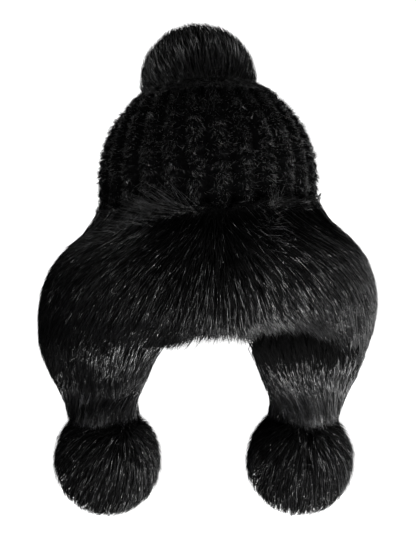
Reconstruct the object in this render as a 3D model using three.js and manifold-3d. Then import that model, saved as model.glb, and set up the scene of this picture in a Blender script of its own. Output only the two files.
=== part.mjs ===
// A fur earflap hat. A chunky crown, knitted in ribs from fur strips, carries a
// pompom in its gathered top. A deep fur brim wraps the front from ear to ear, a
// fur band closes the back, and two fur ear flaps taper down to a pompom each.
// Millimetres, +Z up. The front faces -Y and the wearer's left ear is at +X.
// The origin is the inside of the crown's top, where the head touches it.

import * as THREE from "three";
import { mergeVertices } from "three/addons/utils/BufferGeometryUtils.js";
import Module from "manifold-3d";

const wasm = await Module();
wasm.setup();

// Head opening and knitted crown
const HEAD_HALF_WIDTH = 80;
const HEAD_HALF_DEPTH = 98;
const KNIT_WALL = 11;
const CROWN_DEPTH = 160; // from the inside of the top to the hem
const DOME_HEIGHT = 88; // from the outside of the top to the straight side
const RIB_COUNT = 26;
const RIB_RELIEF = 5; // how deep the valleys between the ribs are

// Gathered hollow in the crown's top, which the top pompom sinks into
const NEST_DROP = 31;
const NEST_BACK = 22; // how far it lies behind the middle of the head
const NEST_SIDE = -8;

// Pompoms
const TOP_POM_RADIUS = 48.5;
const TOP_POM_LIFT = 25; // its centre above the bottom of the nest
const EAR_POM_RADIUS = 45;
const EAR_POM_STRETCH = 1.04; // it is this much taller than wide
const EAR_POM_HANG = 40; // its centre below the flap's tip
const POM_LOCK_DEPTH = 4;
const POM_LOCK_WIDTH = 29;

// Fur ring round the crown: the front brim and the back band
const BRIM_HEIGHT = 110;
const BRIM_OVERHANG = 18; // how far the fur hangs below the crown's hem
const BACK_OVERHANG = 12;
const FRONT_FUR = 42; // how far the fur stands off the crown in front
const SIDE_FUR = 49;
const BACK_FUR = 40;
const SIDE_DIP = 5; // the ring sits this much lower at the right ear and higher at the left
const SEAM_TURN = 100; // degrees from the front to where brim and band meet
const LOCK_DEPTH = 6;
const LOCK_WIDTH = 33;
const LOCK_THICKNESS = 8;
const LOCK_SPACING = 42; // from lock to lock round the ring
const LOCK_ROOT = 1.5; // how deep a lock's root lies in its backing

// Ear flaps
const FLAP_DROP = 74; // from the crown's hem to the tip
const SIDEWAYS_HANG = 3.6; // how far both tips hang towards the right ear
const GAP = 0.3; // clearance between neighbouring pieces
const SLIVER = GAP / 10; // edges shorter than this are closed up

// The crown's rows below its dome. down is the share of the straight side, and
// ribs the share of the relief, which ends under the fur.
const SIDE_ROWS = [
  { reach: 1, down: 0.2, ribs: 0.6 },
  { reach: 1, down: 1, ribs: 0 },
];

// Section of the fur ring. at is the share of its height from the top edge, out
// the share of its depth of fur.
const RING_PROFILE = [
  { at: 0, out: 0 },
  { at: 0.1, out: 0.09 },
  { at: 0.23, out: 0.47 },
  { at: 0.37, out: 0.75 },
  { at: 0.55, out: 0.93 },
  { at: 0.75, out: 1 },
  { at: 0.9, out: 0.97 },
  { at: 1, out: 0.86 },
];

// Level sections of an ear flap. at is the share of its drop, front and back its
// edges in degrees from the front, outer and inner how far its fur stands off the
// line of the crown's side on either hand.
const FLAP_PROFILE = [
  { at: 0, front: 13, back: 128, outer: 47, inner: 9 },
  { at: 0.24, front: 15, back: 127, outer: 47, inner: 9 },
  { at: 0.4, front: 22, back: 124, outer: 43, inner: 11 },
  { at: 0.53, front: 26, back: 120, outer: 38, inner: 14 },
  { at: 0.66, front: 31, back: 115, outer: 32, inner: 19 },
  { at: 0.8, front: 40, back: 109, outer: 25, inner: 26 },
  { at: 0.93, front: 56, back: 102, outer: 18, inner: 32 },
  { at: 1, front: 62, back: 99, outer: 15, inner: 33 },
];

const OUTER_HALF_WIDTH = HEAD_HALF_WIDTH + KNIT_WALL;
const OUTER_HALF_DEPTH = HEAD_HALF_DEPTH + KNIT_WALL;
const NEST_RADIUS = TOP_POM_RADIUS * 1.18;
const HEM_Z = -CROWN_DEPTH;
const radians = THREE.MathUtils.degToRad;

// The value of a table's column at a share between its rows.
function read(table, column, at) {
  const next = table.findIndex((row) => row.at >= at);
  if (next < 0) return table.at(-1)[column];
  if (next === 0) return table[0][column];
  const low = table[next - 1];
  const high = table[next];
  return THREE.MathUtils.mapLinear(at, low.at, high.at, low[column], high[column]);
}

// A closed geometry through rings of as many points each, with both ends capped.
function loft(rings) {
  const count = rings[0].length;
  const positions = [];
  const index = [];
  const push = (p) => positions.push(p.x, p.y, p.z) / 3 - 1;
  rings.forEach((ring) => ring.forEach(push));
  rings.slice(1).forEach((_, r) => {
    for (let i = 0; i < count; i++) {
      const j = (i + 1) % count;
      const [a, b, c, d] = [i, j, count + i, count + j].map((k) => k + r * count);
      index.push(a, c, b, b, c, d);
    }
  });
  const middle = (ring) =>
    ring.reduce((sum, p) => sum.add(p), new THREE.Vector3()).divideScalar(count);
  const first = push(middle(rings[0]));
  const last = push(middle(rings.at(-1)));
  const lastRing = (rings.length - 1) * count;
  for (let i = 0; i < count; i++) {
    const j = (i + 1) % count;
    index.push(first, i, j, last, lastRing + j, lastRing + i);
  }
  const made = new THREE.BufferGeometry();
  made.setAttribute("position", new THREE.Float32BufferAttribute(positions, 3));
  return made.setIndex(index);
}

// A geometry as a solid that can be joined and cut, turned face out if it is not.
function solid(geometry) {
  const bare = geometry.clone();
  bare.deleteAttribute("normal");
  bare.deleteAttribute("uv");
  const merged = mergeVertices(bare, 1e-4);
  const triVerts = new Uint32Array(merged.index.array);
  const make = () =>
    new wasm.Manifold(
      new wasm.Mesh({
        numProp: 3,
        vertProperties: merged.attributes.position.array,
        triVerts,
      }),
    );
  const made = make();
  if (made.volume() > 0) return made;
  for (let i = 0; i < triVerts.length; i += 3) {
    [triVerts[i + 1], triVerts[i + 2]] = [triVerts[i + 2], triVerts[i + 1]];
  }
  return make();
}

// A backing with its locks fused to it.
function fuse(backing, locks) {
  return locks.reduce((sum, one) => sum.add(one), backing);
}

// The largest body of a solid as a geometry, without crumbs that a cut left.
function geometryOf(made) {
  const clean = made.asOriginal().simplify(SLIVER);
  const bodies = clean.decompose().sort((a, b) => b.volume() - a.volume());
  const { vertProperties, triVerts } = bodies[0].getMesh();
  const found = new THREE.BufferGeometry();
  found.setAttribute("position", new THREE.BufferAttribute(vertProperties, 3));
  return found.setIndex(new THREE.BufferAttribute(triVerts, 1));
}

// A lock of fur: a three-sided spike. Its root is in the middle of its flat side,
// and its ridge stands outward from there.
function lock(root, tip, outward, width, thickness) {
  const along = tip.clone().sub(root).normalize();
  const across = along.clone().cross(outward).normalize();
  const up = across.clone().cross(along);
  const corner = (sideways, rise) =>
    root.clone().addScaledVector(across, sideways).addScaledVector(up, rise);
  const corners = [corner(width / 2, 0), corner(0, thickness), corner(-width / 2, 0), tip];
  const made = new THREE.BufferGeometry().setFromPoints(corners);
  return solid(made.setIndex([0, 1, 2, 0, 3, 1, 1, 3, 2, 2, 3, 0]));
}

// How far the dome has dropped at a share of its radius.
function domeDrop(share, height) {
  return height * (1 - Math.sqrt(1 - Math.min(share, 1) ** 2));
}

const APEX_Z =
  KNIT_WALL +
  NEST_DROP +
  domeDrop(
    Math.hypot(NEST_SIDE / OUTER_HALF_WIDTH, NEST_BACK / OUTER_HALF_DEPTH),
    DOME_HEIGHT,
  );
const DOME_BASE_Z = APEX_Z - DOME_HEIGHT;

// Rows of the crown from its nest to its hem. reach is the share of the plan's
// radius. The ribs rise out of the gathered nest.
function crownRows(count) {
  const dome = Array.from({ length: count }, (_, row) => {
    const reach = Math.sin(radians((90 * (row + 1)) / count));
    const ribs = THREE.MathUtils.smoothstep(reach, 0.38, 0.6);
    return { reach, down: 0, ribs };
  });
  return [...dome, ...SIDE_ROWS];
}

// The crown's surface as rings of points, inset from its outside. Of three points
// one lies in the valley between two ribs, and two on a rib.
function crownRings(rowCount, inset, relief, count, hemZ) {
  const halfWidth = OUTER_HALF_WIDTH - inset;
  const halfDepth = OUTER_HALF_DEPTH - inset;
  return crownRows(rowCount).map(({ reach, down, ribs }) =>
    Array.from({ length: count }, (_, i) => {
      const turn = (i / count) * 2 * Math.PI;
      const sunk = i % 3 === 0 ? ribs * relief : 0;
      const radial = 1 - sunk / halfWidth;
      const shift = 1 - reach ** 2;
      const x = NEST_SIDE * shift + halfWidth * reach * radial * Math.sin(turn);
      const y = NEST_BACK * shift - halfDepth * reach * radial * Math.cos(turn);
      if (down > 0) {
        return new THREE.Vector3(x, y, THREE.MathUtils.lerp(DOME_BASE_Z, hemZ, down));
      }
      const share = Math.hypot(x / (halfWidth * radial), y / (halfDepth * radial));
      const fromNest = Math.hypot(x - NEST_SIDE, y - NEST_BACK) / NEST_RADIUS;
      const nest = NEST_DROP * Math.max(0, 1 - fromNest ** 2) ** 2;
      const dome = domeDrop(reach === 1 ? 1 : share, DOME_HEIGHT - inset);
      const dent = sunk * Math.sqrt(1 - reach ** 2);
      return new THREE.Vector3(x, y, APEX_Z - inset - dome - nest - dent);
    }),
  );
}

const KNIT_ROWS = 10;
const LINING_ROWS = 6;
const LINING_POINTS = 30;

function knitCrown() {
  const outside = crownRings(KNIT_ROWS, 0, RIB_RELIEF, RIB_COUNT * 3, HEM_Z);
  const hollow = crownRings(LINING_ROWS, KNIT_WALL, 0, LINING_POINTS, HEM_Z - KNIT_WALL);
  return solid(loft(outside)).subtract(solid(loft(hollow)));
}

// What a polygon of so many corners loses of its radius at the middle of a side.
const sagitta = (radius, corners) => radius * (1 - Math.cos(Math.PI / corners));

// The crown's dome and the clearance over it, filled.
function domeSleeve() {
  const corners = 24;
  const grown = GAP + sagitta(NEST_RADIUS, corners);
  return solid(loft(crownRings(KNIT_ROWS, -grown, 0, corners, HEM_Z)));
}

// The crown's straight side and the clearance round it, filled.
function sideSleeve() {
  const corners = 48;
  const grown = GAP + sagitta(OUTER_HALF_DEPTH, corners);
  const made = new THREE.CylinderGeometry(1, 1, CROWN_DEPTH, corners);
  made.rotateX(Math.PI / 2);
  made.scale(OUTER_HALF_WIDTH + grown, OUTER_HALF_DEPTH + grown, 1);
  return solid(made.translate(0, 0, HEM_Z - GAP + CROWN_DEPTH / 2));
}

// A point off the crown's straight side: turn in degrees from the front towards
// the left ear, out along the side's normal.
function sidePoint(turn, out, z) {
  const [sin, cos] = [Math.sin(radians(turn)), Math.cos(radians(turn))];
  const length = Math.hypot(OUTER_HALF_DEPTH * sin, OUTER_HALF_WIDTH * cos);
  return new THREE.Vector3(
    OUTER_HALF_WIDTH * sin + (out * OUTER_HALF_DEPTH * sin) / length,
    -OUTER_HALF_DEPTH * cos - (out * OUTER_HALF_WIDTH * cos) / length,
    z,
  );
}

// The ring's depth of fur and the heights of its two edges at a turn.
function ringAt(turn) {
  const side = Math.sin(radians(turn)) ** 2;
  const back = Math.cos(radians(turn)) < 0;
  const dip = SIDE_DIP * Math.sin(radians(turn));
  const fur = THREE.MathUtils.lerp(back ? BACK_FUR : FRONT_FUR, SIDE_FUR, side);
  const overhang = THREE.MathUtils.lerp(
    back ? BACK_OVERHANG : BRIM_OVERHANG,
    BRIM_OVERHANG,
    side,
  );
  const hem = HEM_Z - overhang + dip;
  return { fur, hem, top: HEM_Z - BRIM_OVERHANG + BRIM_HEIGHT + dip };
}

// A point of the ring's outer face, inset from the tips of its locks.
function ringPoint(turn, at, inset) {
  const { fur, hem, top } = ringAt(turn);
  const out = Math.max(read(RING_PROFILE, "out", at) * fur - inset, -inset, 0);
  const z = THREE.MathUtils.lerp(top, hem + Math.min(inset, 0), at);
  return sidePoint(turn, out, z);
}

// The ring's body between two turns. It starts a bite inside the crown, which
// then cuts it to fit.
function ringBody(from, to, steps, inset, bite) {
  const rings = Array.from({ length: steps + 1 }, (_, i) => {
    const turn = THREE.MathUtils.lerp(from, to, i / steps);
    const { hem, top } = ringAt(turn);
    const outer = RING_PROFILE.map(({ at }) => ringPoint(turn, at, inset));
    const inner = [hem + Math.min(inset, 0), top].map((z) => sidePoint(turn, -bite, z));
    return [...outer, ...inner];
  });
  return solid(loft(rings));
}

// Rows of locks on the ring between two turns. Those of the top row stand up
// over the crown, and the others fall down and away from the middle.
const RING_LOCK_ROWS = [
  { at: 0.16, to: -0.04, lift: 0.3 },
  { at: 0.1, to: 0.38, lift: 1 },
  { at: 0.3, to: 0.6, lift: 1 },
  { at: 0.52, to: 0.82, lift: 1 },
  { at: 0.72, to: 1, lift: 1 },
];
const LOCK_SPREAD = 9; // degrees that a lock at the ear leans away from the front

function ringLocks(from, to) {
  const middle = (from + to) / 2;
  const length = radians(to - from) * (OUTER_HALF_WIDTH + SIDE_FUR);
  const columns = Math.round(length / LOCK_SPACING);
  return RING_LOCK_ROWS.flatMap(({ at, to: end, lift }, row) =>
    Array.from({ length: columns - (row % 2) }, (_, i) => {
      const share = (i + 0.5 + (row % 2) / 2) / columns;
      const turn = THREE.MathUtils.lerp(from, to, share);
      const lean = (LOCK_SPREAD * (turn - middle) * (1 - at)) / (to - from);
      const root = ringPoint(turn, at, LOCK_DEPTH + LOCK_ROOT);
      const tip = ringPoint(turn + lean, Math.max(end, 0), 0);
      if (end < 0) {
        const { hem, top } = ringAt(turn);
        tip.copy(sidePoint(turn, lift * LOCK_DEPTH, top - end * (top - hem)));
      }
      const outward = sidePoint(turn, 1, 0).sub(sidePoint(turn, 0, 0));
      return lock(root, tip, outward, LOCK_WIDTH, LOCK_THICKNESS);
    }),
  );
}

// The space between two turns, as a prism whose ends lie in the seams.
function seamZone(from, to) {
  const far = OUTER_HALF_DEPTH + 2 * SIDE_FUR;
  const steps = 8;
  const shape = new THREE.Shape([
    ...Array.from({ length: steps + 1 }, (_, i) => {
      const p = sidePoint(THREE.MathUtils.lerp(from, to, i / steps), far, 0);
      return new THREE.Vector2(p.x, p.y);
    }),
    ...Array.from({ length: steps + 1 }, (_, i) => {
      const p = sidePoint(THREE.MathUtils.lerp(to, from, i / steps), -KNIT_WALL, 0);
      return new THREE.Vector2(p.x, p.y);
    }),
  ]);
  const depth = 2 * (CROWN_DEPTH + FLAP_DROP);
  const made = new THREE.ExtrudeGeometry(shape, { depth, bevelEnabled: false });
  return solid(made.translate(0, 0, -depth / 2 + HEM_Z));
}

const SEAM_GAP_TURN = THREE.MathUtils.radToDeg(GAP / 2 / OUTER_HALF_WIDTH);

// One fur piece of the ring, in locks fused to its body and cut to fit the crown.
function ringPiece(from, to, steps) {
  const ends = [from + SEAM_GAP_TURN, to - SEAM_GAP_TURN];
  const locks = ringLocks(...ends);
  const body = ringBody(from - 1, to + 1, steps, LOCK_DEPTH, 3);
  return fuse(body, locks)
    .intersect(seamZone(...ends))
    .subtract(sideSleeve());
}

// A point of an ear flap: side is 1 at the left ear, around goes about its section
// in radians, and inset is measured from the tips of its locks.
function flapPoint(side, at, around, inset) {
  const [front, back, outer, inner] = ["front", "back", "outer", "inner"].map((name) =>
    read(FLAP_PROFILE, name, at),
  );
  const square = (v) => Math.sign(v) * Math.abs(v) ** 0.75;
  const trim = THREE.MathUtils.radToDeg(inset / OUTER_HALF_DEPTH);
  const halfTurn = (back - front) / 2 - trim;
  const halfFur = (outer + inner) / 2 - inset;
  const turn = (back + front) / 2 + halfTurn * square(Math.cos(around));
  const out = (outer - inner) / 2 + halfFur * square(Math.sin(around));
  const p = sidePoint(turn, out, HEM_Z - GAP - FLAP_DROP * at);
  p.x = side * p.x - SIDEWAYS_HANG * Math.sqrt(at);
  return p;
}

const FLAP_SECTION_POINTS = 12;
const FLAP_LOCK_ROWS = [
  { at: 0.18, to: 0.56, count: 8 },
  { at: 0.44, to: 0.82, count: 7 },
  { at: 0.7, to: 1.06, count: 6 },
];

function flapBody(side, inset) {
  const rings = FLAP_PROFILE.map(({ at }) =>
    Array.from({ length: FLAP_SECTION_POINTS }, (_, i) =>
      flapPoint(side, at, (i / FLAP_SECTION_POINTS) * 2 * Math.PI, inset),
    ),
  );
  return solid(loft(rings));
}

// Locks round a flap, all pointing down to its tip.
function flapLocks(side) {
  return FLAP_LOCK_ROWS.flatMap(({ at, to, count }, row) =>
    Array.from({ length: count }, (_, i) => {
      const around = ((i + (row % 2) / 2) / count) * 2 * Math.PI;
      const root = flapPoint(side, at, around, LOCK_DEPTH + LOCK_ROOT);
      const tip = flapPoint(side, Math.min(to, 1), around, 0);
      tip.z -= Math.max(to - 1, 0) * FLAP_DROP;
      const outward = tip.clone().sub(flapPoint(side, Math.min(to, 1), around, 5));
      return lock(root, tip, outward, LOCK_WIDTH, LOCK_THICKNESS);
    }),
  );
}

const TIP_Z = HEM_Z - GAP - FLAP_DROP;

// A block under a height, wide enough to cut any piece level.
function below(z) {
  const side = 8 * OUTER_HALF_DEPTH;
  const block = new THREE.BoxGeometry(side, side, side);
  return solid(block.translate(0, 0, z - side / 2));
}

function above(z) {
  const side = 8 * OUTER_HALF_DEPTH;
  const block = new THREE.BoxGeometry(side, side, side);
  return solid(block.translate(0, 0, z + side / 2));
}

// An ear flap: it hangs from the crown's hem, under the fur of the ring.
function earFlap(side, ring) {
  return fuse(flapBody(side, LOCK_DEPTH), flapLocks(side))
    .subtract(below(TIP_Z))
    .subtract(sideSleeve())
    .subtract(ring);
}

const UP = new THREE.Vector3(0, 1, 0); // the way a new cone points

// A pompom: tufts that stand out all round from a core, spread evenly along a
// spiral from its top to its bottom.
function pompom(centre, radius, count, stretch) {
  const golden = Math.PI * (3 - Math.sqrt(5));
  const place = (v) => new THREE.Vector3(v.x, v.y, v.z * stretch).add(centre);
  const core = new THREE.IcosahedronGeometry(radius - POM_LOCK_DEPTH, 2);
  const places = core.attributes.position;
  for (let i = 0; i < places.count; i++) {
    const p = place(new THREE.Vector3().fromBufferAttribute(places, i));
    places.setXYZ(i, p.x, p.y, p.z);
  }
  const tufts = Array.from({ length: count }, (_, i) => {
    const z = 1 - (2 * i + 1) / count;
    const level = Math.sqrt(1 - z * z);
    const turn = i * golden;
    const way = new THREE.Vector3(level * Math.cos(turn), level * Math.sin(turn), z);
    const tuft = new THREE.ConeGeometry(POM_LOCK_WIDTH / 2, 2 * POM_LOCK_DEPTH, 3);
    tuft.rotateY(i).translate(0, radius - POM_LOCK_DEPTH, 0);
    tuft.applyQuaternion(new THREE.Quaternion().setFromUnitVectors(UP, way));
    return solid(tuft.scale(1, 1, stretch).translate(centre.x, centre.y, centre.z));
  });
  return fuse(solid(core), tufts);
}

const TOP_POM_CENTRE = new THREE.Vector3(NEST_SIDE, NEST_BACK, KNIT_WALL + TOP_POM_LIFT);

function topPompom() {
  return pompom(TOP_POM_CENTRE, TOP_POM_RADIUS, 52, 1).subtract(domeSleeve());
}

// The centre of a flap's tip, with its pompom hung so that the tip rests on it.
function earPompom(side) {
  const around = [0, 0.25, 0.5, 0.75].map((share) =>
    flapPoint(side, 1, share * 2 * Math.PI, 0),
  );
  const tip = around.reduce((sum, p) => sum.add(p), new THREE.Vector3());
  const centre = tip.divideScalar(around.length);
  centre.z = TIP_Z - EAR_POM_HANG;
  const ball = pompom(centre, EAR_POM_RADIUS, 44, EAR_POM_STRETCH);
  return ball.subtract(above(TIP_Z - GAP));
}

const FUR_BLACK = { color: 0x0d0c0e, roughness: 0.5, metalness: 0 };
const KNIT_BLACK = { color: 0x09090a, roughness: 0.75, metalness: 0 };

const hat = new THREE.Group();

function addPiece(name, made, look) {
  const mesh = new THREE.Mesh(
    geometryOf(made),
    new THREE.MeshStandardMaterial({ ...look, flatShading: true }),
  );
  mesh.name = name;
  hat.add(mesh);
}

// The ring with the clearance round it, which the flaps are cut by.
const ringCutter = ringBody(0, 360, 60, -GAP - 0.4, 5);

addPiece("crown", knitCrown(), KNIT_BLACK);
addPiece("top_pompom", topPompom(), FUR_BLACK);
addPiece("front_brim", ringPiece(-SEAM_TURN, SEAM_TURN, 13), FUR_BLACK);
addPiece("back_band", ringPiece(SEAM_TURN, 360 - SEAM_TURN, 11), FUR_BLACK);
for (const [word, side] of [["left", 1], ["right", -1]]) {
  addPiece(`${word}_flap`, earFlap(side, ringCutter), FUR_BLACK);
  addPiece(`${word}_pompom`, earPompom(side), FUR_BLACK);
}

export default hat;
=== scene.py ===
"""A black fur earflap hat: knitted fur crown, deep fur brim, flaps and pompoms.

Every visible surface is fur, made as joined meshes of thin tapered strands that
grow from a closed core. Each kind of surface is a function of two coordinates
and a depth under the fur's outline, so a strand is a line through that space.
Sizes are the CAD model's, in millimetres, and become metres in the meshes.
"""

import math

import bpy
import numpy as np
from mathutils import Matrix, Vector


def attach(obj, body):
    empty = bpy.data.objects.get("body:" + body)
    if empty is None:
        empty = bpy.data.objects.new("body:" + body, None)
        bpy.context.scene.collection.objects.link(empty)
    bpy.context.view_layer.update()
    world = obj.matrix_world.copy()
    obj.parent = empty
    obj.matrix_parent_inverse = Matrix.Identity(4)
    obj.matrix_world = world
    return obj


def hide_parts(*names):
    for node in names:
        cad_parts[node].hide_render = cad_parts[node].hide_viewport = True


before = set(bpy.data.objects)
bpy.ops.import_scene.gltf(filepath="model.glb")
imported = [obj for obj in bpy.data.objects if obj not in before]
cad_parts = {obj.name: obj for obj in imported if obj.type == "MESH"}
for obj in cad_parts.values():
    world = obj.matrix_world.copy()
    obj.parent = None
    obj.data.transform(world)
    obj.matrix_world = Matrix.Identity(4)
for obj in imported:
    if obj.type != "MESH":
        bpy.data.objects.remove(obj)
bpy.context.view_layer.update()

# Sizes of the CAD model, in millimetres
OUTER_HALF_WIDTH = 91
OUTER_HALF_DEPTH = 109
KNIT_WALL = 11
HEM_Z = -160
DOME_HEIGHT = 88
NEST_DROP = 31
NEST_BACK = 22
NEST_SIDE = -8
NEST_RADIUS = 48.5 * 1.18
RIB_COUNT = 26
BRIM_HEIGHT = 110
BRIM_OVERHANG = 18
BACK_OVERHANG = 12
FRONT_FUR = 42
SIDE_FUR = 49
BACK_FUR = 40
SIDE_DIP = 5
SEAM_TURN = 100
LEFT_TUCK = 0.1  # how much less the fur stands off the left side, below its hem
FLAP_DROP = 74
SIDEWAYS_HANG = 3.6
TOP_POM = {"centre": (NEST_SIDE, NEST_BACK, 36), "radius": 48.5, "stretch": 1.0}
EAR_POM_RADIUS = 45
EAR_POM_STRETCH = 1.04
EAR_POM_HANG = 40

# The fur ring's section: share of its height from the top edge, and of its depth
RING_AT = (-0.15, 0, 0.08, 0.165, 0.255, 0.345, 0.45, 0.6, 0.76, 0.9, 1, 1.1, 1.25, 1.4)
RING_OUT = (0.1, 0.02, 0.08, 0.28, 0.52, 0.7, 0.85, 0.96, 1, 0.97, 0.88, 0.74, 0.45, 0.1)
RING_OUT_RUNNING_ON = (0.1, 0.02, 0.08, 0.28, 0.52, 0.7, 0.85, 0.96, 1, 0.99, 0.97, 0.9, 0.73, 0.5)

# Level sections of a flap: share of its drop, its edges in degrees from the
# front, and how far its fur stands off the line of the crown on either hand
FLAP_AT = (0, 0.24, 0.4, 0.53, 0.66, 0.8, 0.93, 1, 1.3)
FLAP_FRONT = (13, 15, 22, 26, 31, 40, 56, 62, 62)
FLAP_BACK = (128, 127, 124, 120, 115, 109, 102, 99, 99)
FLAP_OUTER = (47, 47, 43, 38, 32, 25, 18, 15, 17)
FLAP_INNER = (9, 9, 11, 14, 19, 26, 32, 33, 35)


def drop_of_dome(share, height=DOME_HEIGHT):
    """How far the dome has come down at a share of its radius."""
    return height * (1 - np.sqrt(1 - np.minimum(share, 1) ** 2))


NEST_SHARE = math.hypot(NEST_SIDE / OUTER_HALF_WIDTH, NEST_BACK / OUTER_HALF_DEPTH)
APEX_Z = KNIT_WALL + NEST_DROP + float(drop_of_dome(NEST_SHARE))
DOME_BASE_Z = APEX_Z - DOME_HEIGHT


# Surfaces


def ramp(value, start, end):
    """0 up to the start, 1 past the end, and straight between them."""
    return np.clip((value - start) / (end - start), 0, 1)


def side_point(turn, out, z):
    """A point off the crown's straight side: turn in degrees from the front."""
    sin, cos = np.sin(np.radians(turn)), np.cos(np.radians(turn))
    length = np.hypot(OUTER_HALF_DEPTH * sin, OUTER_HALF_WIDTH * cos)
    x = OUTER_HALF_WIDTH * sin + out * OUTER_HALF_DEPTH * sin / length
    y = -OUTER_HALF_DEPTH * cos - out * OUTER_HALF_WIDTH * cos / length
    return np.stack([x, y, z + 0 * x], axis=-1)


def ring_runs_on(turn):
    """1 where the ring's fur runs on over a flap without a hem, 0 where a hem shows."""
    left = ramp(turn, 50, 66)
    right = ramp(turn, -22, -40)
    return np.where(np.abs(turn) > 130, 0, np.maximum(left, right))


def ring_surface(turn, at, depth):
    """The fur ring: turn in degrees, at from its top edge to its hem and under it."""
    side = np.sin(np.radians(turn)) ** 2
    back = np.cos(np.radians(turn)) < 0
    dip = SIDE_DIP * np.sin(np.radians(turn))
    middle_fur = np.where(back, BACK_FUR, FRONT_FUR)
    middle_hang = np.where(back, BACK_OVERHANG, BRIM_OVERHANG)
    fur = middle_fur + (SIDE_FUR - middle_fur) * side
    hem = HEM_Z - (middle_hang + (BRIM_OVERHANG - middle_hang) * side) + dip
    top = HEM_Z - BRIM_OVERHANG + BRIM_HEIGHT + dip
    runs_on = ring_runs_on(turn)
    hemmed = np.interp(at, RING_AT, RING_OUT)
    running = np.interp(at, RING_AT, RING_OUT_RUNNING_ON)
    tuck = LEFT_TUCK * ramp(at, 0.8, 1.05) * np.where(turn > 0, runs_on, 0)
    out = (hemmed + (running - hemmed) * runs_on) * fur * (1 - tuck)
    under = ramp(at, 0.8, 1.1) * (1 - runs_on)
    out = np.maximum(out - depth * (1 - 0.5 * under), 0.5)
    level = np.minimum(at, 1.08 + 0.42 * runs_on)
    z = top + (hem - top) * level + depth * 0.8 * under
    return side_point(turn, out, z)


def flap_surface(side):
    """An ear flap: around its section in degrees, and at from the hem to the tip."""

    def surface(around, at, depth):
        columns = (FLAP_FRONT, FLAP_BACK, FLAP_OUTER, FLAP_INNER)
        front, back, outer, inner = (np.interp(at, FLAP_AT, c) for c in columns)
        half_turn = (back - front) / 2 - np.degrees(depth / OUTER_HALF_DEPTH)
        half_fur = np.maximum((outer + inner) / 2 - depth, 3)
        cos, sin = np.cos(np.radians(around)), np.sin(np.radians(around))
        cos = np.sign(cos) * np.abs(cos) ** 0.75
        sin = np.sign(sin) * np.abs(sin) ** 0.75
        turn = (back + front) / 2 + np.maximum(half_turn, 3) * cos
        point = side_point(turn, (outer - inner) / 2 + half_fur * sin, HEM_Z - FLAP_DROP * at)
        point[..., 0] = side * point[..., 0] - SIDEWAYS_HANG * np.sqrt(np.maximum(at, 0))
        return point

    return surface


def ball_surface(centre, radius, stretch, pole):
    """A pompom: degrees round its pole and degrees away from it."""
    up = np.array(pole, float) / np.linalg.norm(pole)
    east = np.cross(up, (0, 1, 0))
    east /= np.linalg.norm(east)
    north = np.cross(up, east)

    def surface(around, away, depth):
        level = np.sin(np.radians(away))
        way = (
            up * np.cos(np.radians(away))[..., None]
            + east * (level * np.cos(np.radians(around)))[..., None]
            + north * (level * np.sin(np.radians(around)))[..., None]
        )
        point = way * (radius - depth)[..., None]
        point[..., 2] *= stretch
        return point + np.array(centre, float)

    return surface


def crown_surface(turn, down, depth):
    """The crown: turn in degrees, down in degrees over its dome and then its side."""
    reach = np.sin(np.radians(np.minimum(down, 90)))
    half_width, half_depth = OUTER_HALF_WIDTH - depth, OUTER_HALF_DEPTH - depth
    shift = 1 - reach**2
    x = NEST_SIDE * shift + half_width * reach * np.sin(np.radians(turn))
    y = NEST_BACK * shift - half_depth * reach * np.cos(np.radians(turn))
    share = np.hypot(x / half_width, y / half_depth)
    share = np.where(down >= 90, 1, share)
    from_nest = np.hypot(x - NEST_SIDE, y - NEST_BACK) / NEST_RADIUS
    nest = NEST_DROP * np.maximum(0, 1 - from_nest**2) ** 2
    side = np.maximum(down - 90, 0) * OUTER_HALF_DEPTH * math.pi / 180
    z = APEX_Z - depth - drop_of_dome(share, DOME_HEIGHT - depth) - nest - side
    return np.stack([x, y, z], axis=-1)


# Meshes


def new_piece(name, mesh, looks, slot, *nodes):
    """A mesh as a piece that rides the root, in the place of the nodes named."""
    piece = bpy.data.objects.new(name, mesh)
    bpy.context.collection.objects.link(piece)
    for look in looks:
        mesh.materials.append(look)
    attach(piece, "root")
    if nodes:
        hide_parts(*nodes)
    return piece


def mesh_of(name, points, faces):
    """A mesh of triangles or quads from arrays of points, in millimetres, and faces."""
    mesh = bpy.data.meshes.new(name)
    corners = faces.shape[1]
    mesh.vertices.add(len(points))
    mesh.vertices.foreach_set("co", (points * 0.001).astype(np.float32).ravel())
    mesh.loops.add(faces.size)
    mesh.loops.foreach_set("vertex_index", faces.astype(np.int32).ravel())
    mesh.polygons.add(len(faces))
    mesh.polygons.foreach_set("loop_start", np.arange(0, faces.size, corners, dtype=np.int32))
    mesh.update(calc_edges=True)
    mesh.polygons.foreach_set("use_smooth", np.ones(len(faces), bool))
    return mesh


def loft_mesh(name, rings):
    """A closed mesh through rings of as many points each, with a fan at either end."""
    count = rings.shape[1]
    ends = np.stack([rings[0].mean(0), rings[-1].mean(0)])
    flat = np.concatenate([rings.reshape(-1, 3), ends])
    first, last = len(flat) - 2, len(flat) - 1
    i = np.arange(count)
    j = (i + 1) % count
    faces = []
    for row in range(len(rings) - 1):
        a, b = row * count + i, row * count + j
        faces.append(np.stack([a, b, b + count], axis=-1))
        faces.append(np.stack([a, b + count, a + count], axis=-1))
    end = (len(rings) - 1) * count
    faces.append(np.stack([np.full(count, first), j, i], axis=-1))
    faces.append(np.stack([np.full(count, last), end + i, end + j], axis=-1))
    return mesh_of(name, flat, np.concatenate(faces))


def core_mesh(name, surface, sides, rows, depth):
    """A core under fur: a grid over a surface at one depth, closed at both ends."""
    u, v = np.meshgrid(np.linspace(-180, 180, sides + 1)[:-1], rows)
    mesh = loft_mesh(name, surface(u, v, np.full(u.shape, depth, float)))
    mesh.flip_normals()
    return mesh


# Strands

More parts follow.
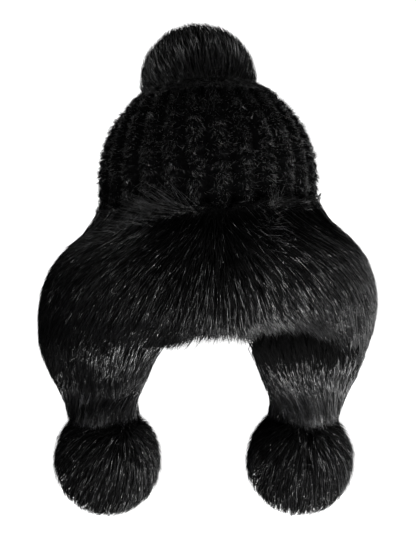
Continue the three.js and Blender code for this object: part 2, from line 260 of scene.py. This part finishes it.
FUR_SHARES = (0.32, 0.5, 0.18)  # of dull down, satin hair and glossy guard hair
FLAP_SHARES = (0.25, 0.53, 0.22)
TUFT_SHARES = (0.1, 0.35, 0.55)
POM_SHARES = (0.42, 0.47, 0.11)
PILE_SHARES = (0.15, 0.72, 0.13)
KIND_WIDTHS = (1.1, 1.0, 0.85)  # how wide each kind is beside the others
TONE_FALL = 2  # the higher, the fewer strands are light

# For a strand of one, two or three rings: where its rings and its tip are along
# it, and how wide it is at its rings
STRAND_STEPS = {1: (0, 1), 2: (0, 0.55, 1), 3: (0, 0.35, 0.7, 1)}
RING_SHARES = {1: (1.0,), 2: (0.8, 1.0), 3: (0.85, 1.0, 0.75)}


def strand_points(paths, width, rng):
    """Three points round each path at each of its rings, and one at its tip."""
    count, steps = paths.shape[0], paths.shape[1] - 1
    tangent = np.gradient(paths, axis=1)
    tangent /= np.linalg.norm(tangent, axis=-1, keepdims=True) + 1e-9
    whole = paths[:, -1] - paths[:, 0]
    roll = np.cross(whole, rng.normal(size=(count, 3)))[:, None, :]
    roll = roll - (roll * tangent).sum(-1, keepdims=True) * tangent
    roll /= np.linalg.norm(roll, axis=-1, keepdims=True) + 1e-9
    across = np.cross(tangent, roll)
    angles = np.radians([0, 120, 240])[:, None]
    spokes = np.cos(angles) * roll[:, :steps, None, :] + np.sin(angles) * across[:, :steps, None, :]
    radius = (width[:, None] / 2 * np.array(RING_SHARES[steps]))[:, :, None, None]
    rings = paths[:, :steps, None, :] + radius * spokes
    return np.concatenate([rings.reshape(count, steps * 3, 3), paths[:, -1:]], axis=1)


def strand_faces(steps):
    """A strand's triangles, and where their corners are round and along the strand."""
    faces = [(0, 2, 1)]
    where = [((0, 0), (1, 0), (0.5, 0.1))]
    for step in range(steps):
        low, high = step / steps, (step + 1) / steps
        for side in range(3):
            a, b = step * 3 + side, step * 3 + (side + 1) % 3
            u, w = side / 3, (side + 1) / 3
            if step == steps - 1:
                faces.append((a, b, steps * 3))
                where.append(((u, low), (w, low), ((u + w) / 2, high)))
            else:
                faces += [(a, b, b + 3), (a, b + 3, a + 3)]
                where += [((u, low), (w, low), (w, high)), ((u, low), (w, high), (u, high))]
    return np.array(faces), np.array(where)


def strand_mesh(name, paths, width, rng, tone=None, shares=FUR_SHARES, painted_shade=None):
    """Three-sided tapered strands along paths, an array of strands by points by xyz.

    The shares are those of down, satin and guard hair, which have the piece's first,
    second and third material. The last argument is a chance for each strand of being down
    whatever the shares, which paints shade with dark, dull strands where it is given.
    """
    if tone is None:
        tone = rng.random(len(paths)) ** TONE_FALL
    kind = rng.choice(3, len(paths), p=shares)
    # Strands forced to dull down here are painted shade
    if painted_shade is not None:
        kind = np.where(rng.random(len(paths)) < painted_shade, 0, kind)
    points = strand_points(paths, width * np.array(KIND_WIDTHS)[kind], rng)
    count, each, steps = points.shape[0], points.shape[1], paths.shape[1] - 1
    faces, where = strand_faces(steps)
    all_faces = (np.arange(count) * each)[:, None, None] + faces
    mesh = mesh_of(name, points.reshape(-1, 3), all_faces.reshape(-1, 3))
    add_strand_data(mesh, count, steps, where, tone)
    kinds = np.repeat(kind, len(faces)).astype(np.int32)
    mesh.polygons.foreach_set("material_index", kinds)
    return mesh


def add_strand_data(mesh, count, steps, where, tone):
    """A map with a cell for each strand, and each point's tone and place along it."""
    across = math.ceil(math.sqrt(count))
    cell = np.stack([np.arange(count) % across, np.arange(count) // across], axis=-1)
    inside = 0.08 + 0.84 * where.reshape(-1, 2)
    uv = (cell[:, None, :] + inside) / across
    layer = mesh.uv_layers.new(name="OFBake")
    layer.data.foreach_set("uv", uv.astype(np.float32).ravel())
    along = np.append(np.repeat(np.arange(steps) / steps, 3), 1)
    for title, values in (
        ("along", np.tile(along, count)),
        ("tone", np.repeat(tone, steps * 3 + 1)),
    ):
        attribute = mesh.attributes.new(title, "FLOAT", "POINT")
        attribute.data.foreach_set("value", values.astype(np.float32))


def comb(surface, root, tip, depth, steps, bow):
    """Paths from root to tip coordinates.

    Depth is that of the roots and of the tips. A strand rises towards the outline
    first and lies along it at its end, the more so the higher its bow.
    """
    t = np.array(STRAND_STEPS[steps], float)
    rise = 1 - (1 - t) ** np.reshape(bow, (-1, 1))
    u, v = (root[k][:, None] + (tip[k] - root[k])[:, None] * t for k in (0, 1))
    inset = depth[0][:, None] + (depth[1] - depth[0])[:, None] * rise
    return surface(u, v, inset)


def clumps(rng, guides, children, spread, hold):
    """Strands in clumps round guides, which are root and tip coordinates.

    Roots are spread about the guides, and tips come together by the share hold.
    """
    (ru, rv), (tu, tv) = guides
    du = rng.normal(size=(len(ru), children)) * spread[0]
    dv = rng.normal(size=(len(ru), children)) * spread[1]
    root = ((ru[:, None] + du).ravel(), (rv[:, None] + dv).ravel())
    loose = 1 - hold
    tip = ((tu[:, None] + du * loose).ravel(), (tv[:, None] + dv * loose).ravel())
    return root, tip


def waves(u, v, seed):
    """A smooth field between about -1 and 1 that leans neighbouring strands alike."""
    rng = np.random.default_rng(seed)
    total = 0
    for _ in range(5):
        fu, fv, phase = rng.uniform(0.02, 0.09), rng.uniform(4, 13), rng.uniform(0, 6.3)
        total = total + np.sin(u * fu * 2 + v * fv + phase)
    return total / 2.5


# Materials


def material(name, dark, light, roughness, shine, spots=None):
    """Fur: its colour runs from dark to light by the strand's tone and from root to tip.

    Spots, if they are given, are the scale of a noise that mottles a pelt instead.
    """
    made = bpy.data.materials.new(name)
    made.use_nodes = True
    nodes, links = made.node_tree.nodes, made.node_tree.links
    shader = nodes["Principled BSDF"]
    shader.inputs["Roughness"].default_value = roughness
    shader.inputs["Specular IOR Level"].default_value = shine
    colours = nodes.new("ShaderNodeValToRGB")
    colours.color_ramp.elements[0].color = (*dark, 1)
    colours.color_ramp.elements[0].position = 0.25
    colours.color_ramp.elements[1].color = (*light, 1)
    if spots is None:
        # The colour lightens with tone times place along the strand: random tone, with painted
        # shade at the roots and painted light at the tips
        tone = nodes.new("ShaderNodeAttribute")
        tone.attribute_name = "tone"
        along = nodes.new("ShaderNodeAttribute")
        along.attribute_name = "along"
        mixed = nodes.new("ShaderNodeMath")
        mixed.operation = "MULTIPLY"
        links.new(tone.outputs["Fac"], mixed.inputs[0])
        links.new(along.outputs["Fac"], mixed.inputs[1])
        links.new(mixed.outputs[0], colours.inputs["Fac"])
    else:
        noise = nodes.new("ShaderNodeTexNoise")
        noise.inputs["Scale"].default_value = spots
        noise.inputs["Detail"].default_value = 6
        links.new(noise.outputs["Fac"], colours.inputs["Fac"])
        bump = nodes.new("ShaderNodeBump")
        bump.inputs["Strength"].default_value = 0.6
        bump.inputs["Distance"].default_value = 0.001
        links.new(noise.outputs["Fac"], bump.inputs["Height"])
        links.new(bump.outputs["Normal"], shader.inputs["Normal"])
    links.new(colours.outputs["Color"], shader.inputs["Base Color"])
    return made


DOWN = material("fur_down", (0.0001, 0.0001, 0.0001), (0.0005, 0.0005, 0.0006), 0.7, 0.03)
SATIN = material("fur_satin", (0.0003, 0.0003, 0.0004), (0.003, 0.003, 0.0034), 0.34, 0.32)
PILE = material("pile_satin", (0.0005, 0.0005, 0.0006), (0.004, 0.004, 0.0045), 0.42, 0.22)
LONG_FUR = (
    DOWN,
    SATIN,
    material("long_fur", (0.0004, 0.0004, 0.0005), (0.014, 0.014, 0.0157), 0.28, 1.0),
)
# The guard hair of the flaps and brow tufts is lighter than the brim's, a painted sheen for the
# light these parts catch
FLAP_FUR_PAINTED_SHEEN = (
    DOWN,
    SATIN,
    material("flap_fur", (0.0008, 0.0008, 0.0009), (0.05, 0.05, 0.056), 0.4, 0.9),
)
POM_FUR = (
    DOWN,
    SATIN,
    material("pompom_fur", (0.0004, 0.0004, 0.0005), (0.01, 0.01, 0.0112), 0.3, 0.9),
)
KNIT_PILE = (
    DOWN,
    PILE,
    material("knit_pile", (0.0004, 0.0004, 0.0005), (0.02, 0.02, 0.0224), 0.28, 1.0),
)
PELT = (
    material("pelt", (0.0001, 0.0001, 0.0001), (0.0005, 0.0005, 0.0006), 0.9, 0.02, 600),
)
KNIT = (
    material("knit_backing", (0.0001, 0.0001, 0.0001), (0.0006, 0.0006, 0.0007), 0.9, 0.02, 420),
)


# Fur of the ring

# Turns are in degrees from the front, heights are shares of the brim's height from
# its top edge, and depths and widths are in millimetres.

CLUMP = 4  # strands in a clump
CLUMP_HOLD = 0.45  # how far a clump's tips come together
ROOT_SPREAD = (1.6, 0.025)  # of a clump's roots, in degrees and in height
GUARD_WIDTH = (0.4, 0.72)
ROOT_DEPTH = (14, 18)
PELT_DEPTH = 15.5
PARTING_TURN = 5
PARTING_HALF_WIDTH = 20
PAINTED_SHADE_TO_RIGHT = 22  # how far the painted shade reaches beside the parting
PAINTED_SHADE_TO_LEFT = 46
SWEEP = 15  # degrees that a strand leans away from the parting
SWEEP_SETS_IN = 22  # degrees from the parting
REACH = 0.43
ARCH_MIDDLE = 2
HEM_END = 0.93  # how far down the fur reaches in the middle of the arch
CORNER_DROP = 0.06
HEM_LIFT = 0.1  # how much shorter the fur is over the left flap
RUN_ON = 0.38  # how much longer it is where it runs on over a flap
CORNER_SINK = 12  # how far the fur sinks to the right flap at the arch's corner
WAVE_SEED = 7


def ring_end(turn, rng):
    """How far down the ring's fur reaches at a turn, ragged from strand to strand."""
    corner = ramp(np.abs(turn - ARCH_MIDDLE), 7, 16)
    lift = HEM_LIFT * ramp(turn, 13, 19) * ramp(turn, 50, 36)
    over_right_flap = ramp(turn, -13, -40) * (np.abs(turn) < 130)
    runs_on = np.where(turn < 0, over_right_flap, ring_runs_on(turn))
    from_front = np.abs((turn + 180) % 360 - 180)
    runs_on = runs_on * ramp(from_front, 124, 104)
    count = len(turn)
    ragged = rng.normal(0.02, 0.028, count) - runs_on * rng.exponential(0.11, count)
    return HEM_END + CORNER_DROP * corner - lift + RUN_ON * runs_on + ragged


def ring_fur(name, seed, turns, guides, node):
    """Long fur on the ring between two turns, swept down and away from the parting."""
    rng = np.random.default_rng(seed)
    turn = rng.uniform(*turns, guides)
    at = rng.uniform(0.0, 1.12, guides) ** 0.95
    lean = waves(turn, at, WAVE_SEED)
    from_parting = turn - PARTING_TURN
    fade = ramp(np.abs(from_parting), 180, 130)
    sweep = SWEEP * np.tanh(from_parting / SWEEP_SETS_IN) * fade * (1.1 - 0.55 * at)
    reach = rng.normal(REACH, 0.05, guides) * np.clip(0.5 + at * 1.2, 0, 1)
    upright = (at < 0.06) & (rng.random(guides) < 0.6)
    reach = np.where(upright, -rng.uniform(0.0, 0.05, guides), reach)
    close = np.exp(-((from_parting / PARTING_HALF_WIDTH) ** 2)) * ramp(at, 0.5, 0)
    reach = reach * (1 - 0.45 * close)
    tip_turn = turn + sweep + lean * 2.0 + rng.normal(0, 1.0, guides)
    tip_at = at + reach + rng.normal(0, 0.015, guides)
    guide = ((turn, at), (tip_turn, tip_at))
    root, tip = clumps(rng, guide, CLUMP, ROOT_SPREAD, CLUMP_HOLD)
    count = len(root[0])

    end = ring_end(tip[0], rng)
    tip_turn = tip[0] + rng.normal(0, 0.9, count)
    tip_at = np.minimum(tip[1] + rng.normal(0, 0.014, count), end)
    lying = np.where(root[1] > 0.5, np.minimum(root[1], tip_at - 0.13), root[1])
    root = (root[0], np.clip(lying, -0.02, 1.3))
    at_corner = ramp(tip_turn, -48, -28) * ramp(tip_turn, -10, -16)
    sunk = CORNER_SINK * at_corner * ramp(tip_at, 0.93, 1.15)
    depth = (rng.uniform(*ROOT_DEPTH, count), rng.exponential(1.7, count) - 0.8 + sunk)
    bow = 2.3 - 1.2 * np.repeat(close, CLUMP)
    paths = comb(ring_surface, root, (tip_turn, tip_at), depth, 2, bow)

    width = rng.uniform(*GUARD_WIDTH, count)
    # Painted shade: near the parting and high on the brim many strands are made dull down,
    # darkening the fur where its hairs point out and catch little light
    painted_shade_to = np.where(from_parting > 0, PAINTED_SHADE_TO_LEFT, PAINTED_SHADE_TO_RIGHT)
    dark = np.exp(-((from_parting / painted_shade_to) ** 2)) * np.clip(1.25 - at / 0.6, 0, 0.95)
    mesh = strand_mesh(name, paths, width, rng, painted_shade=np.repeat(dark, CLUMP))
    return new_piece(name, mesh, LONG_FUR, "long_fur", node)


def brow_tuft(name, seed, turns, tip_turns, root_at, rise, count):
    """Longer hairs on the brim's top edge that stand up over the crown."""
    rng = np.random.default_rng(seed)
    share = rng.beta(2.0, 1.9, count)
    lean = waves(share * 90, share * 0, seed) * 3
    turn = turns[0] + (turns[1] - turns[0]) * share + rng.normal(0, 3.5, count)
    tip_turn = tip_turns[0] + (tip_turns[1] - tip_turns[0]) * share + lean
    tip_turn = tip_turn + rng.normal(0, 5.5, count)
    at = rng.uniform(*root_at, count) + rng.exponential(0.035, count) + 0.22 * (1 - share) ** 2
    high = np.maximum(1.3 * share - 0.3, 0) * rng.random(count) ** 1.6
    tip_at = at * (1.2 - 0.7 * share) - rise * high
    depth = (rng.uniform(7, 13, count), np.maximum(1.5 - rng.exponential(2.6, count), -9))
    paths = comb(ring_surface, (turn, at), (tip_turn, tip_at), depth, 3, 1.15)
    width = rng.uniform(0.3, 0.5, count)
    mesh = strand_mesh(name, paths, width, rng, shares=TUFT_SHARES)
    return new_piece(name, mesh, FLAP_FUR_PAINTED_SHEEN, "long_fur", "front_brim")


def ring_core(name, turns, node):
    """The pelt under the ring's fur, closed round its section and at its ends."""
    across = np.linspace(*turns, 48)
    u, v = np.meshgrid(across, np.append(np.linspace(0.02, 0.9, 14), 0.97))
    outer = ring_surface(u, v, np.full(u.shape, PELT_DEPTH))
    inner = side_point(across, 0.4, outer[-1, :, 2])
    top = side_point(across, 0.4, outer[0, :, 2])
    rings = np.concatenate([outer, inner[None], top[None]]).transpose(1, 0, 2)
    return new_piece(name, loft_mesh(name, rings), PELT, "long_fur", node)


FRONT_FUR_PIECES = (("right", 11, (-104, -30)), ("middle", 12, (-34, 34)), ("left", 13, (30, 104)))
FRONT_GUIDES = 3150  # in each of these pieces
BACK_GUIDES = 1400

ring_core("front_brim_pelt", (-SEAM_TURN, SEAM_TURN), "front_brim")
ring_core("back_band_pelt", (SEAM_TURN, 360 - SEAM_TURN), "back_band")
for word, seed, turns in FRONT_FUR_PIECES:
    ring_fur(f"front_brim_fur_{word}", seed, turns, FRONT_GUIDES, "front_brim")
ring_fur("back_band_fur", 14, (96, 264), BACK_GUIDES, "back_band")
brow_tuft("front_brim_tuft_right", 15, (-66, 1), (-80, -18), (0.0, 0.06), 0.32, 950)
brow_tuft("front_brim_tuft_left", 16, (24, 40), (24, 44), (0.0, 0.04), 0.24, 160)


# Fur of the flaps

# Around is in degrees round a flap's level section: its back edge is at 0, its outer
# face at 90, its front edge at 180 and its inner face at -90. Heights are shares of
# its drop, from the crown's hem to its tip.

FLAP_PELT_DEPTH = 12.5
FLAP_FUR_START = 0.4  # where the fur comes out from under the ring's fur
HEMMED_RISE = 0.15  # how much higher that is in front, where the left flap has a hem over it
COVERED_SINK = 10  # how far the fur sinks under the ring's fur
HEMMED_SINK = 4  # and how much more under the hem
LOOSE_END = 5  # how far tips stand off the faces at the flap's end
FLAP_GUIDES = 2500
FLAP_ROOT_SPREAD = (4.5, 0.03)


def flap_fur(name, seed, side, guides, node):
    """Fur of a flap, swept down to its tip. It starts up under the ring's fur."""
    rng = np.random.default_rng(seed)
    around = rng.uniform(-180, 180, guides)
    inner_face = (around < -20) & (around > -160)
    keep = ~inner_face | (rng.random(guides) < 0.5)
    around = around[keep]
    guides = len(around)
    at = rng.uniform(-0.28, 1.06, guides)
    at = np.where((around < 0) & (at < 0.1), 0.1, at)
    tip_around = around + waves(around, at, seed) * 5 + rng.normal(0, 3, guides)
    tip_at = at + rng.normal(0.6, 0.06, guides) * np.clip(1.25 - 0.75 * at, 0.35, 1)
    guide = ((around, at), (tip_around, np.minimum(tip_at, 1.17)))
    root, tip = clumps(rng, guide, CLUMP, FLAP_ROOT_SPREAD, CLUMP_HOLD)
    count = len(root[0])
    tip = (tip[0] + rng.normal(0, 2, count), tip[1] + rng.normal(0, 0.02, count))

    to_back = np.cos(np.radians(tip[0]))
    hemmed = ramp(to_back, 0.1, -0.2) * (side > 0)
    covered = ramp(to_back, -0.95, -0.65)
    start = FLAP_FUR_START - HEMMED_RISE * hemmed
    sink = COVERED_SINK * np.maximum(covered, hemmed) + HEMMED_SINK * hemmed
    sunk = sink * ramp(tip[1], start + 0.3, start)
    loose_end = LOOSE_END * (1 - np.abs(to_back)) * ramp(tip[1], 0.75, 1)
    depth = (rng.uniform(13, 16, count), rng.exponential(1.6, count) - 0.6 + sunk - loose_end)
    paths = comb(flap_surface(side), root, tip, depth, 2, 2.4)

    width = rng.uniform(*GUARD_WIDTH, count)
    # Painted shadow under the hem over the left flap: strands in its upper front are made dull down
    middle = (root[1] + tip[1]) / 2
    shaded = ramp(middle, 0.52, 0.32) * hemmed
    mesh = strand_mesh(name, paths, width, rng, shares=FLAP_SHARES, painted_shade=shaded)
    return new_piece(name, mesh, FLAP_FUR_PAINTED_SHEEN, "long_fur", node)


for word, side, seed in (("left", 1, 21), ("right", -1, 22)):
    node = f"{word}_flap"
    rows = np.linspace(0.02, 1.0, 14)
    core = core_mesh(f"{node}_pelt", flap_surface(side), 40, rows, FLAP_PELT_DEPTH)
    new_piece(f"{node}_pelt", core, PELT, "long_fur", node)
    flap_fur(f"{node}_fur", seed, side, FLAP_GUIDES, node)


# Pompoms

# Away is in degrees from a pompom's pole, and around is in degrees round it.

POM_WIDTH = (0.4, 0.7)
POM_ROOT_DEPTH = (19, 23)
POM_SPREAD = 5  # of a clump's roots, in degrees
TOP_POM_CORE_DEPTH = 21
EAR_POM_CORE_DEPTH = 20
TOP_POM_GUIDES = 3000
EAR_POM_GUIDES = 1900
# The poles also set where each pompom's painted shade falls
EAR_POM_POLE = {1: (0.1, -0.55, 0.8), -1: (0.35, -0.55, 0.8)}
TOP_POM["pole"] = (0.25, -0.6, -1)


def pompom_surface(ball):
    """The outline of a pompom from its centre, radius, stretch and pole."""
    return ball_surface(ball["centre"], ball["radius"], ball["stretch"], ball["pole"])


def pompom_fur(name, seed, ball, guides, comb_out, painted_shade_to, hidden, node):
    """Fur round a pompom: comb_out is how many degrees strands lean away from its pole,
    and the next is how far from the pole, in degrees, shade is painted: strands there are made dull
    down, as fur that stands on end looks dark.

    Hidden, if it is given, tells which tips are not to be made.
    """
    rng = np.random.default_rng(seed)
    away = np.degrees(np.arccos(rng.uniform(-1, 1, guides)))
    around = rng.uniform(-180, 180, guides)
    root_away = away - comb_out * np.sin(np.radians(away))
    root_away += waves(around, np.radians(away), seed) * 3 + rng.normal(0, 2, guides)
    level = np.maximum(np.sin(np.radians(away)), 0.15)
    twist = waves(around, np.radians(away), seed + 1) * 5 + rng.normal(0, 3, guides)
    du = rng.normal(size=(guides, CLUMP)) * POM_SPREAD / level[:, None]
    dv = rng.normal(size=(guides, CLUMP)) * POM_SPREAD
    root = ((around - twist / level)[:, None] + du, root_away[:, None] + dv)
    tip = (around[:, None] + du * 0.7, away[:, None] + dv * 0.7)
    root, tip = ([part.ravel() for part in pair] for pair in (root, tip))
    count = len(root[0])
    depth = (rng.uniform(*POM_ROOT_DEPTH, count), np.abs(rng.normal(0, 1.3, count)) - 1.4)
    paths = comb(pompom_surface(ball), root, tip, depth, 2, 2.1)
    # Painted shade: strands near the pole, and on the far side from it, are made dull down to
    # darken the fur and damp its glints there
    painted_shade = np.clip(1.3 - away / painted_shade_to, 0, 0.9) + np.clip((away - 100) / 60, 0, 0.9)
    painted_shade = np.repeat(painted_shade, CLUMP)
    if hidden:
        kept = ~hidden(paths[:, -1])
        paths, painted_shade = paths[kept], painted_shade[kept]
    width = rng.uniform(*POM_WIDTH, len(paths))
    mesh = strand_mesh(name, paths, width, rng, shares=POM_SHARES, painted_shade=painted_shade)
    return new_piece(name, mesh, POM_FUR, "pompom_fur", node)


def pompom_core(name, ball, depth, node):
    """The ball under a pompom's fur."""
    core = core_mesh(name, pompom_surface(ball), 36, np.linspace(6, 174, 18), depth)
    return new_piece(name, core, PELT, "pompom_fur", node)


def under_crown(points):
    """True for tips that the crown would hide or that would pass through it."""
    x = (points[:, 0] - NEST_SIDE) / NEST_RADIUS
    y = (points[:, 1] - NEST_BACK) / NEST_RADIUS
    share = np.hypot(points[:, 0] / OUTER_HALF_WIDTH, points[:, 1] / OUTER_HALF_DEPTH)
    nest = NEST_DROP * np.maximum(0, 1 - x**2 - y**2) ** 2
    return points[:, 2] < APEX_Z - drop_of_dome(share) - nest + 1


def tip_centre(side):
    """The middle of a flap's tip."""
    around = np.array([0.0, 90.0, 180.0, 270.0])
    return flap_surface(side)(around, np.ones(4), np.zeros(4)).mean(0)


pompom_core("top_pompom_core", TOP_POM, TOP_POM_CORE_DEPTH, "top_pompom")
pompom_fur("top_pompom_fur", 31, TOP_POM, TOP_POM_GUIDES, 40, 62, under_crown, "top_pompom")

for word, side, seed in (("left", 1, 32), ("right", -1, 33)):
    middle = tip_centre(side)
    middle[2] = HEM_Z - FLAP_DROP - EAR_POM_HANG
    ball = {
        "centre": middle,
        "radius": EAR_POM_RADIUS,
        "stretch": EAR_POM_STRETCH,
        "pole": EAR_POM_POLE[side],
    }
    node = f"{word}_pompom"
    pompom_core(f"{node}_core", ball, EAR_POM_CORE_DEPTH, node)
    pompom_fur(f"{node}_fur", seed, ball, EAR_POM_GUIDES, 52, 96, None, node)


# Knitted crown

# Down is in degrees of its dome, and on past 90 down its side.

STITCH = 5.4  # from stitch to stitch along a rib
FIRST_STITCH = 36
RELIEF = 8  # how deep the dips between stitches are
HAIRS_PER_STITCH = 62
COLLAR_HAIRS = 6000
HEM_DOWN = 90 + (DOME_BASE_Z - HEM_Z) / (OUTER_HALF_DEPTH * math.pi / 180)


def knit_relief(turn, down):
    """How far the knitted surface stands back from the crown's outline."""
    rib = turn / 360 * RIB_COUNT
    phase = rib - np.floor(rib)
    row = down / STITCH + 0.5 * (np.floor(rib) % 2)
    puff = np.abs(np.sin(np.pi * phase)) ** 0.7 * (0.6 + 0.4 * np.abs(np.sin(np.pi * row)) ** 0.7)
    return RELIEF * (1 - puff) * ramp(down, FIRST_STITCH - 6, FIRST_STITCH + 2)


def crown_shell():
    """The knitted wall under the pile: its outside, its hem and its plain inside."""
    turns = np.linspace(0, 360, RIB_COUNT * 6 + 1)[:-1]
    outside = np.concatenate([np.linspace(3, 24, 5), np.arange(30, 108, STITCH / 4), [HEM_DOWN]])
    u, v = np.meshgrid(turns, outside)
    outer = crown_surface(u, v, knit_relief(u, v) + 1.2)
    inside = np.concatenate([[HEM_DOWN], np.linspace(108, 3, 18)])
    u, v = np.meshgrid(turns, inside)
    inner = crown_surface(u, v, np.full(u.shape, KNIT_WALL, float))
    return loft_mesh("crown_knit", np.concatenate([outer, inner])[::-1])


def crown_pile(name, seed, hairs):
    """Short pile on the stitches, each of which is a small tuft that leans its own way."""
    rng = np.random.default_rng(seed)
    downs = np.arange(FIRST_STITCH, 112, STITCH)
    rib, down = np.meshgrid(np.arange(RIB_COUNT), downs)
    down = down + STITCH * 0.5 * (rib % 2)
    rib, down = rib.ravel(), down.ravel()
    stitches = len(rib)
    turn = (rib + 0.5) * 360 / RIB_COUNT + rng.normal(0, 0.6, stitches)
    lift = rng.uniform(-1.0, 1.0, stitches)[:, None]
    lean = rng.normal(0, 0.9, (2, stitches))[:, :, None]
    du = rng.normal(size=(stitches, hairs)) * 2.7
    dv = rng.normal(size=(stitches, hairs)) * STITCH * 0.24
    root = ((turn[:, None] + du).ravel(), (down[:, None] + dv).ravel())
    tip_turn = turn[:, None] + du * 1.2 + lean[0] + rng.normal(0, 1.5, du.shape)
    tip_down = down[:, None] + dv * 1.2 + 1.2 + lean[1] * 0.6 + rng.normal(0, 1.3, du.shape)
    tip = (tip_turn.ravel(), tip_down.ravel())
    count = len(root[0])
    stray = rng.random(count) < 0.015
    tip_depth = rng.exponential(0.8, count) - 2.0 + knit_relief(*tip) * 0.85
    tip_depth = tip_depth + (lift + 0 * du).ravel()
    tip_depth = tip_depth - stray * rng.uniform(1, 3, count)
    depth = (knit_relief(*root) + 2.5, np.maximum(tip_depth, -3.5))
    paths = comb(crown_surface, root, tip, depth, 1, 1.5)
    width = rng.uniform(0.42, 0.72, count)
    bright = np.repeat(rng.random(stitches) * 0.8 + 0.3, hairs)
    # Stray hairs get a lighter tone as painted glints
    tone = np.minimum(rng.random(count) ** TONE_FALL * bright + stray * rng.random(count), 1)
    mesh = strand_mesh(name, paths, width, rng, tone, PILE_SHARES)
    return new_piece(name, mesh, KNIT_PILE, "knitted_fur", "crown")


def collar_pile(name, seed, count):
    """Short flat pile on the gathered roll round the nest."""
    rng = np.random.default_rng(seed)
    turn = rng.uniform(0, 360, count)
    down = rng.uniform(12, FIRST_STITCH + 3, count)
    tip = (turn + rng.normal(0, 2.5, count), down + rng.uniform(3, 6.5, count))
    depth = (np.full(count, 2.5), rng.exponential(0.8, count) - 0.8)
    paths = comb(crown_surface, (turn, down), tip, depth, 1, 1.5)
    width = rng.uniform(0.5, 0.8, count)
    mesh = strand_mesh(name, paths, width, rng, shares=PILE_SHARES)
    return new_piece(name, mesh, KNIT_PILE, "knitted_fur", "crown")


new_piece("crown_knit", crown_shell(), KNIT, "knitted_fur", "crown")
crown_pile("crown_pile", 41, HAIRS_PER_STITCH)
collar_pile("crown_collar_pile", 42, COLLAR_HAIRS)


# Stage, lights and camera


def plain(name, colour, glow=0.0):
    """A matt surface with a glow of its own."""
    made = bpy.data.materials.new(name)
    made.use_nodes = True
    shader = made.node_tree.nodes["Principled BSDF"]
    shader.inputs["Base Color"].default_value = (*colour, 1)
    shader.inputs["Roughness"].default_value = 0.9
    shader.inputs["Specular IOR Level"].default_value = 0.1
    shader.inputs["Emission Color"].default_value = (1, 1, 1, 1)
    shader.inputs["Emission Strength"].default_value = glow
    return made


FLOOR_Z = -0.40
bpy.ops.mesh.primitive_plane_add(size=60, location=(0, 0, FLOOR_Z))
floor = bpy.context.object
floor.name = "floor"
floor.data.materials.append(plain("floor_white", (0.9, 0.9, 0.9), 1.2))
floor.visible_diffuse = False
floor.visible_glossy = False
floor.visible_shadow = False


def soft_light(name, place, aim, size, power):
    """An area light at a place, in metres, turned to what it lights."""
    data = bpy.data.lights.new(name, "AREA")
    data.shape = "RECTANGLE"
    data.size, data.size_y = size
    data.energy = power
    lamp = bpy.data.objects.new(name, data)
    bpy.context.collection.objects.link(lamp)
    lamp.location = place
    lamp.rotation_euler = (Vector(aim) - Vector(place)).to_track_quat("-Z", "Y").to_euler()
    lamp.visible_camera = False
    return lamp


# Each light's name, place, aim, width and height, and power
LIGHTS = (
    ("bounce", (0.2, -1.0, -1.4), (0, -0.05, -0.2), (1.8, 1.8), 62),
    ("front", (0.3, -1.7, -1.4), (0, 0, -0.16), (0.7, 0.5), 96),
    ("key", (-1.2, -1.2, 1.2), (0, 0, -0.1), (0.4, 0.4), 18),
    ("right", (2.0, -0.5, 0.1), (0, 0, -0.15), (0.4, 0.7), 27),
    ("top", (-0.3, 0.5, 1.7), (0, 0, 0), (0.6, 0.6), 14),
    ("backdrop", (0.6, 1.5, -0.8), (0, 0, -0.2), (2.0, 1.8), 46),
    ("under", (1.2, -0.4, -1.55), (-0.05, -0.05, -0.2), (0.6, 0.6), 88),
    ("left", (-1.9, 0.5, 0.3), (-0.1, 0, -0.1), (0.4, 0.6), 7),
)

for light in LIGHTS:
    soft_light(*light)

world = bpy.data.worlds.new("studio")
bpy.context.scene.world = world
world.use_nodes = True
tree = world.node_tree
ambient = tree.nodes["Background"]
ambient.inputs["Color"].default_value = (1, 1, 1, 1)
ambient.inputs["Strength"].default_value = 0.01
seen = tree.nodes.new("ShaderNodeBackground")
seen.inputs["Color"].default_value = (1, 1, 1, 1)
seen.inputs["Strength"].default_value = 1.2
path = tree.nodes.new("ShaderNodeLightPath")
mix = tree.nodes.new("ShaderNodeMixShader")
tree.links.new(path.outputs["Is Camera Ray"], mix.inputs[0])
tree.links.new(ambient.outputs[0], mix.inputs[1])
tree.links.new(seen.outputs[0], mix.inputs[2])
tree.links.new(mix.outputs[0], tree.nodes["World Output"].inputs["Surface"])

PIXEL = 0.00082  # metres to a pixel of the photograph at the hat
FRAME = (416, 555)
KNOWN_ROW = 76  # a row of the photograph
KNOWN_HEIGHT = 0.040  # and its height in the frame, in metres
DISTANCE = 4.0
ELEVATION = 0.5

camera = bpy.data.objects.new("camera", bpy.data.cameras.new("camera"))
bpy.context.collection.objects.link(camera)
bpy.context.scene.camera = camera
camera.data.sensor_width = 36
camera.data.lens = 36 * DISTANCE / (PIXEL * FRAME[1])
aim = Vector((0, 0, KNOWN_HEIGHT + (KNOWN_ROW - FRAME[1] / 2) * PIXEL))
tilt = math.radians(ELEVATION)
camera.location = aim + Vector((0, -DISTANCE * math.cos(tilt), DISTANCE * math.sin(tilt)))
camera.rotation_euler = (aim - camera.location).to_track_quat("-Z", "Y").to_euler()
camera.data.clip_end = 200

bpy.context.scene.view_settings.view_transform = "Standard"
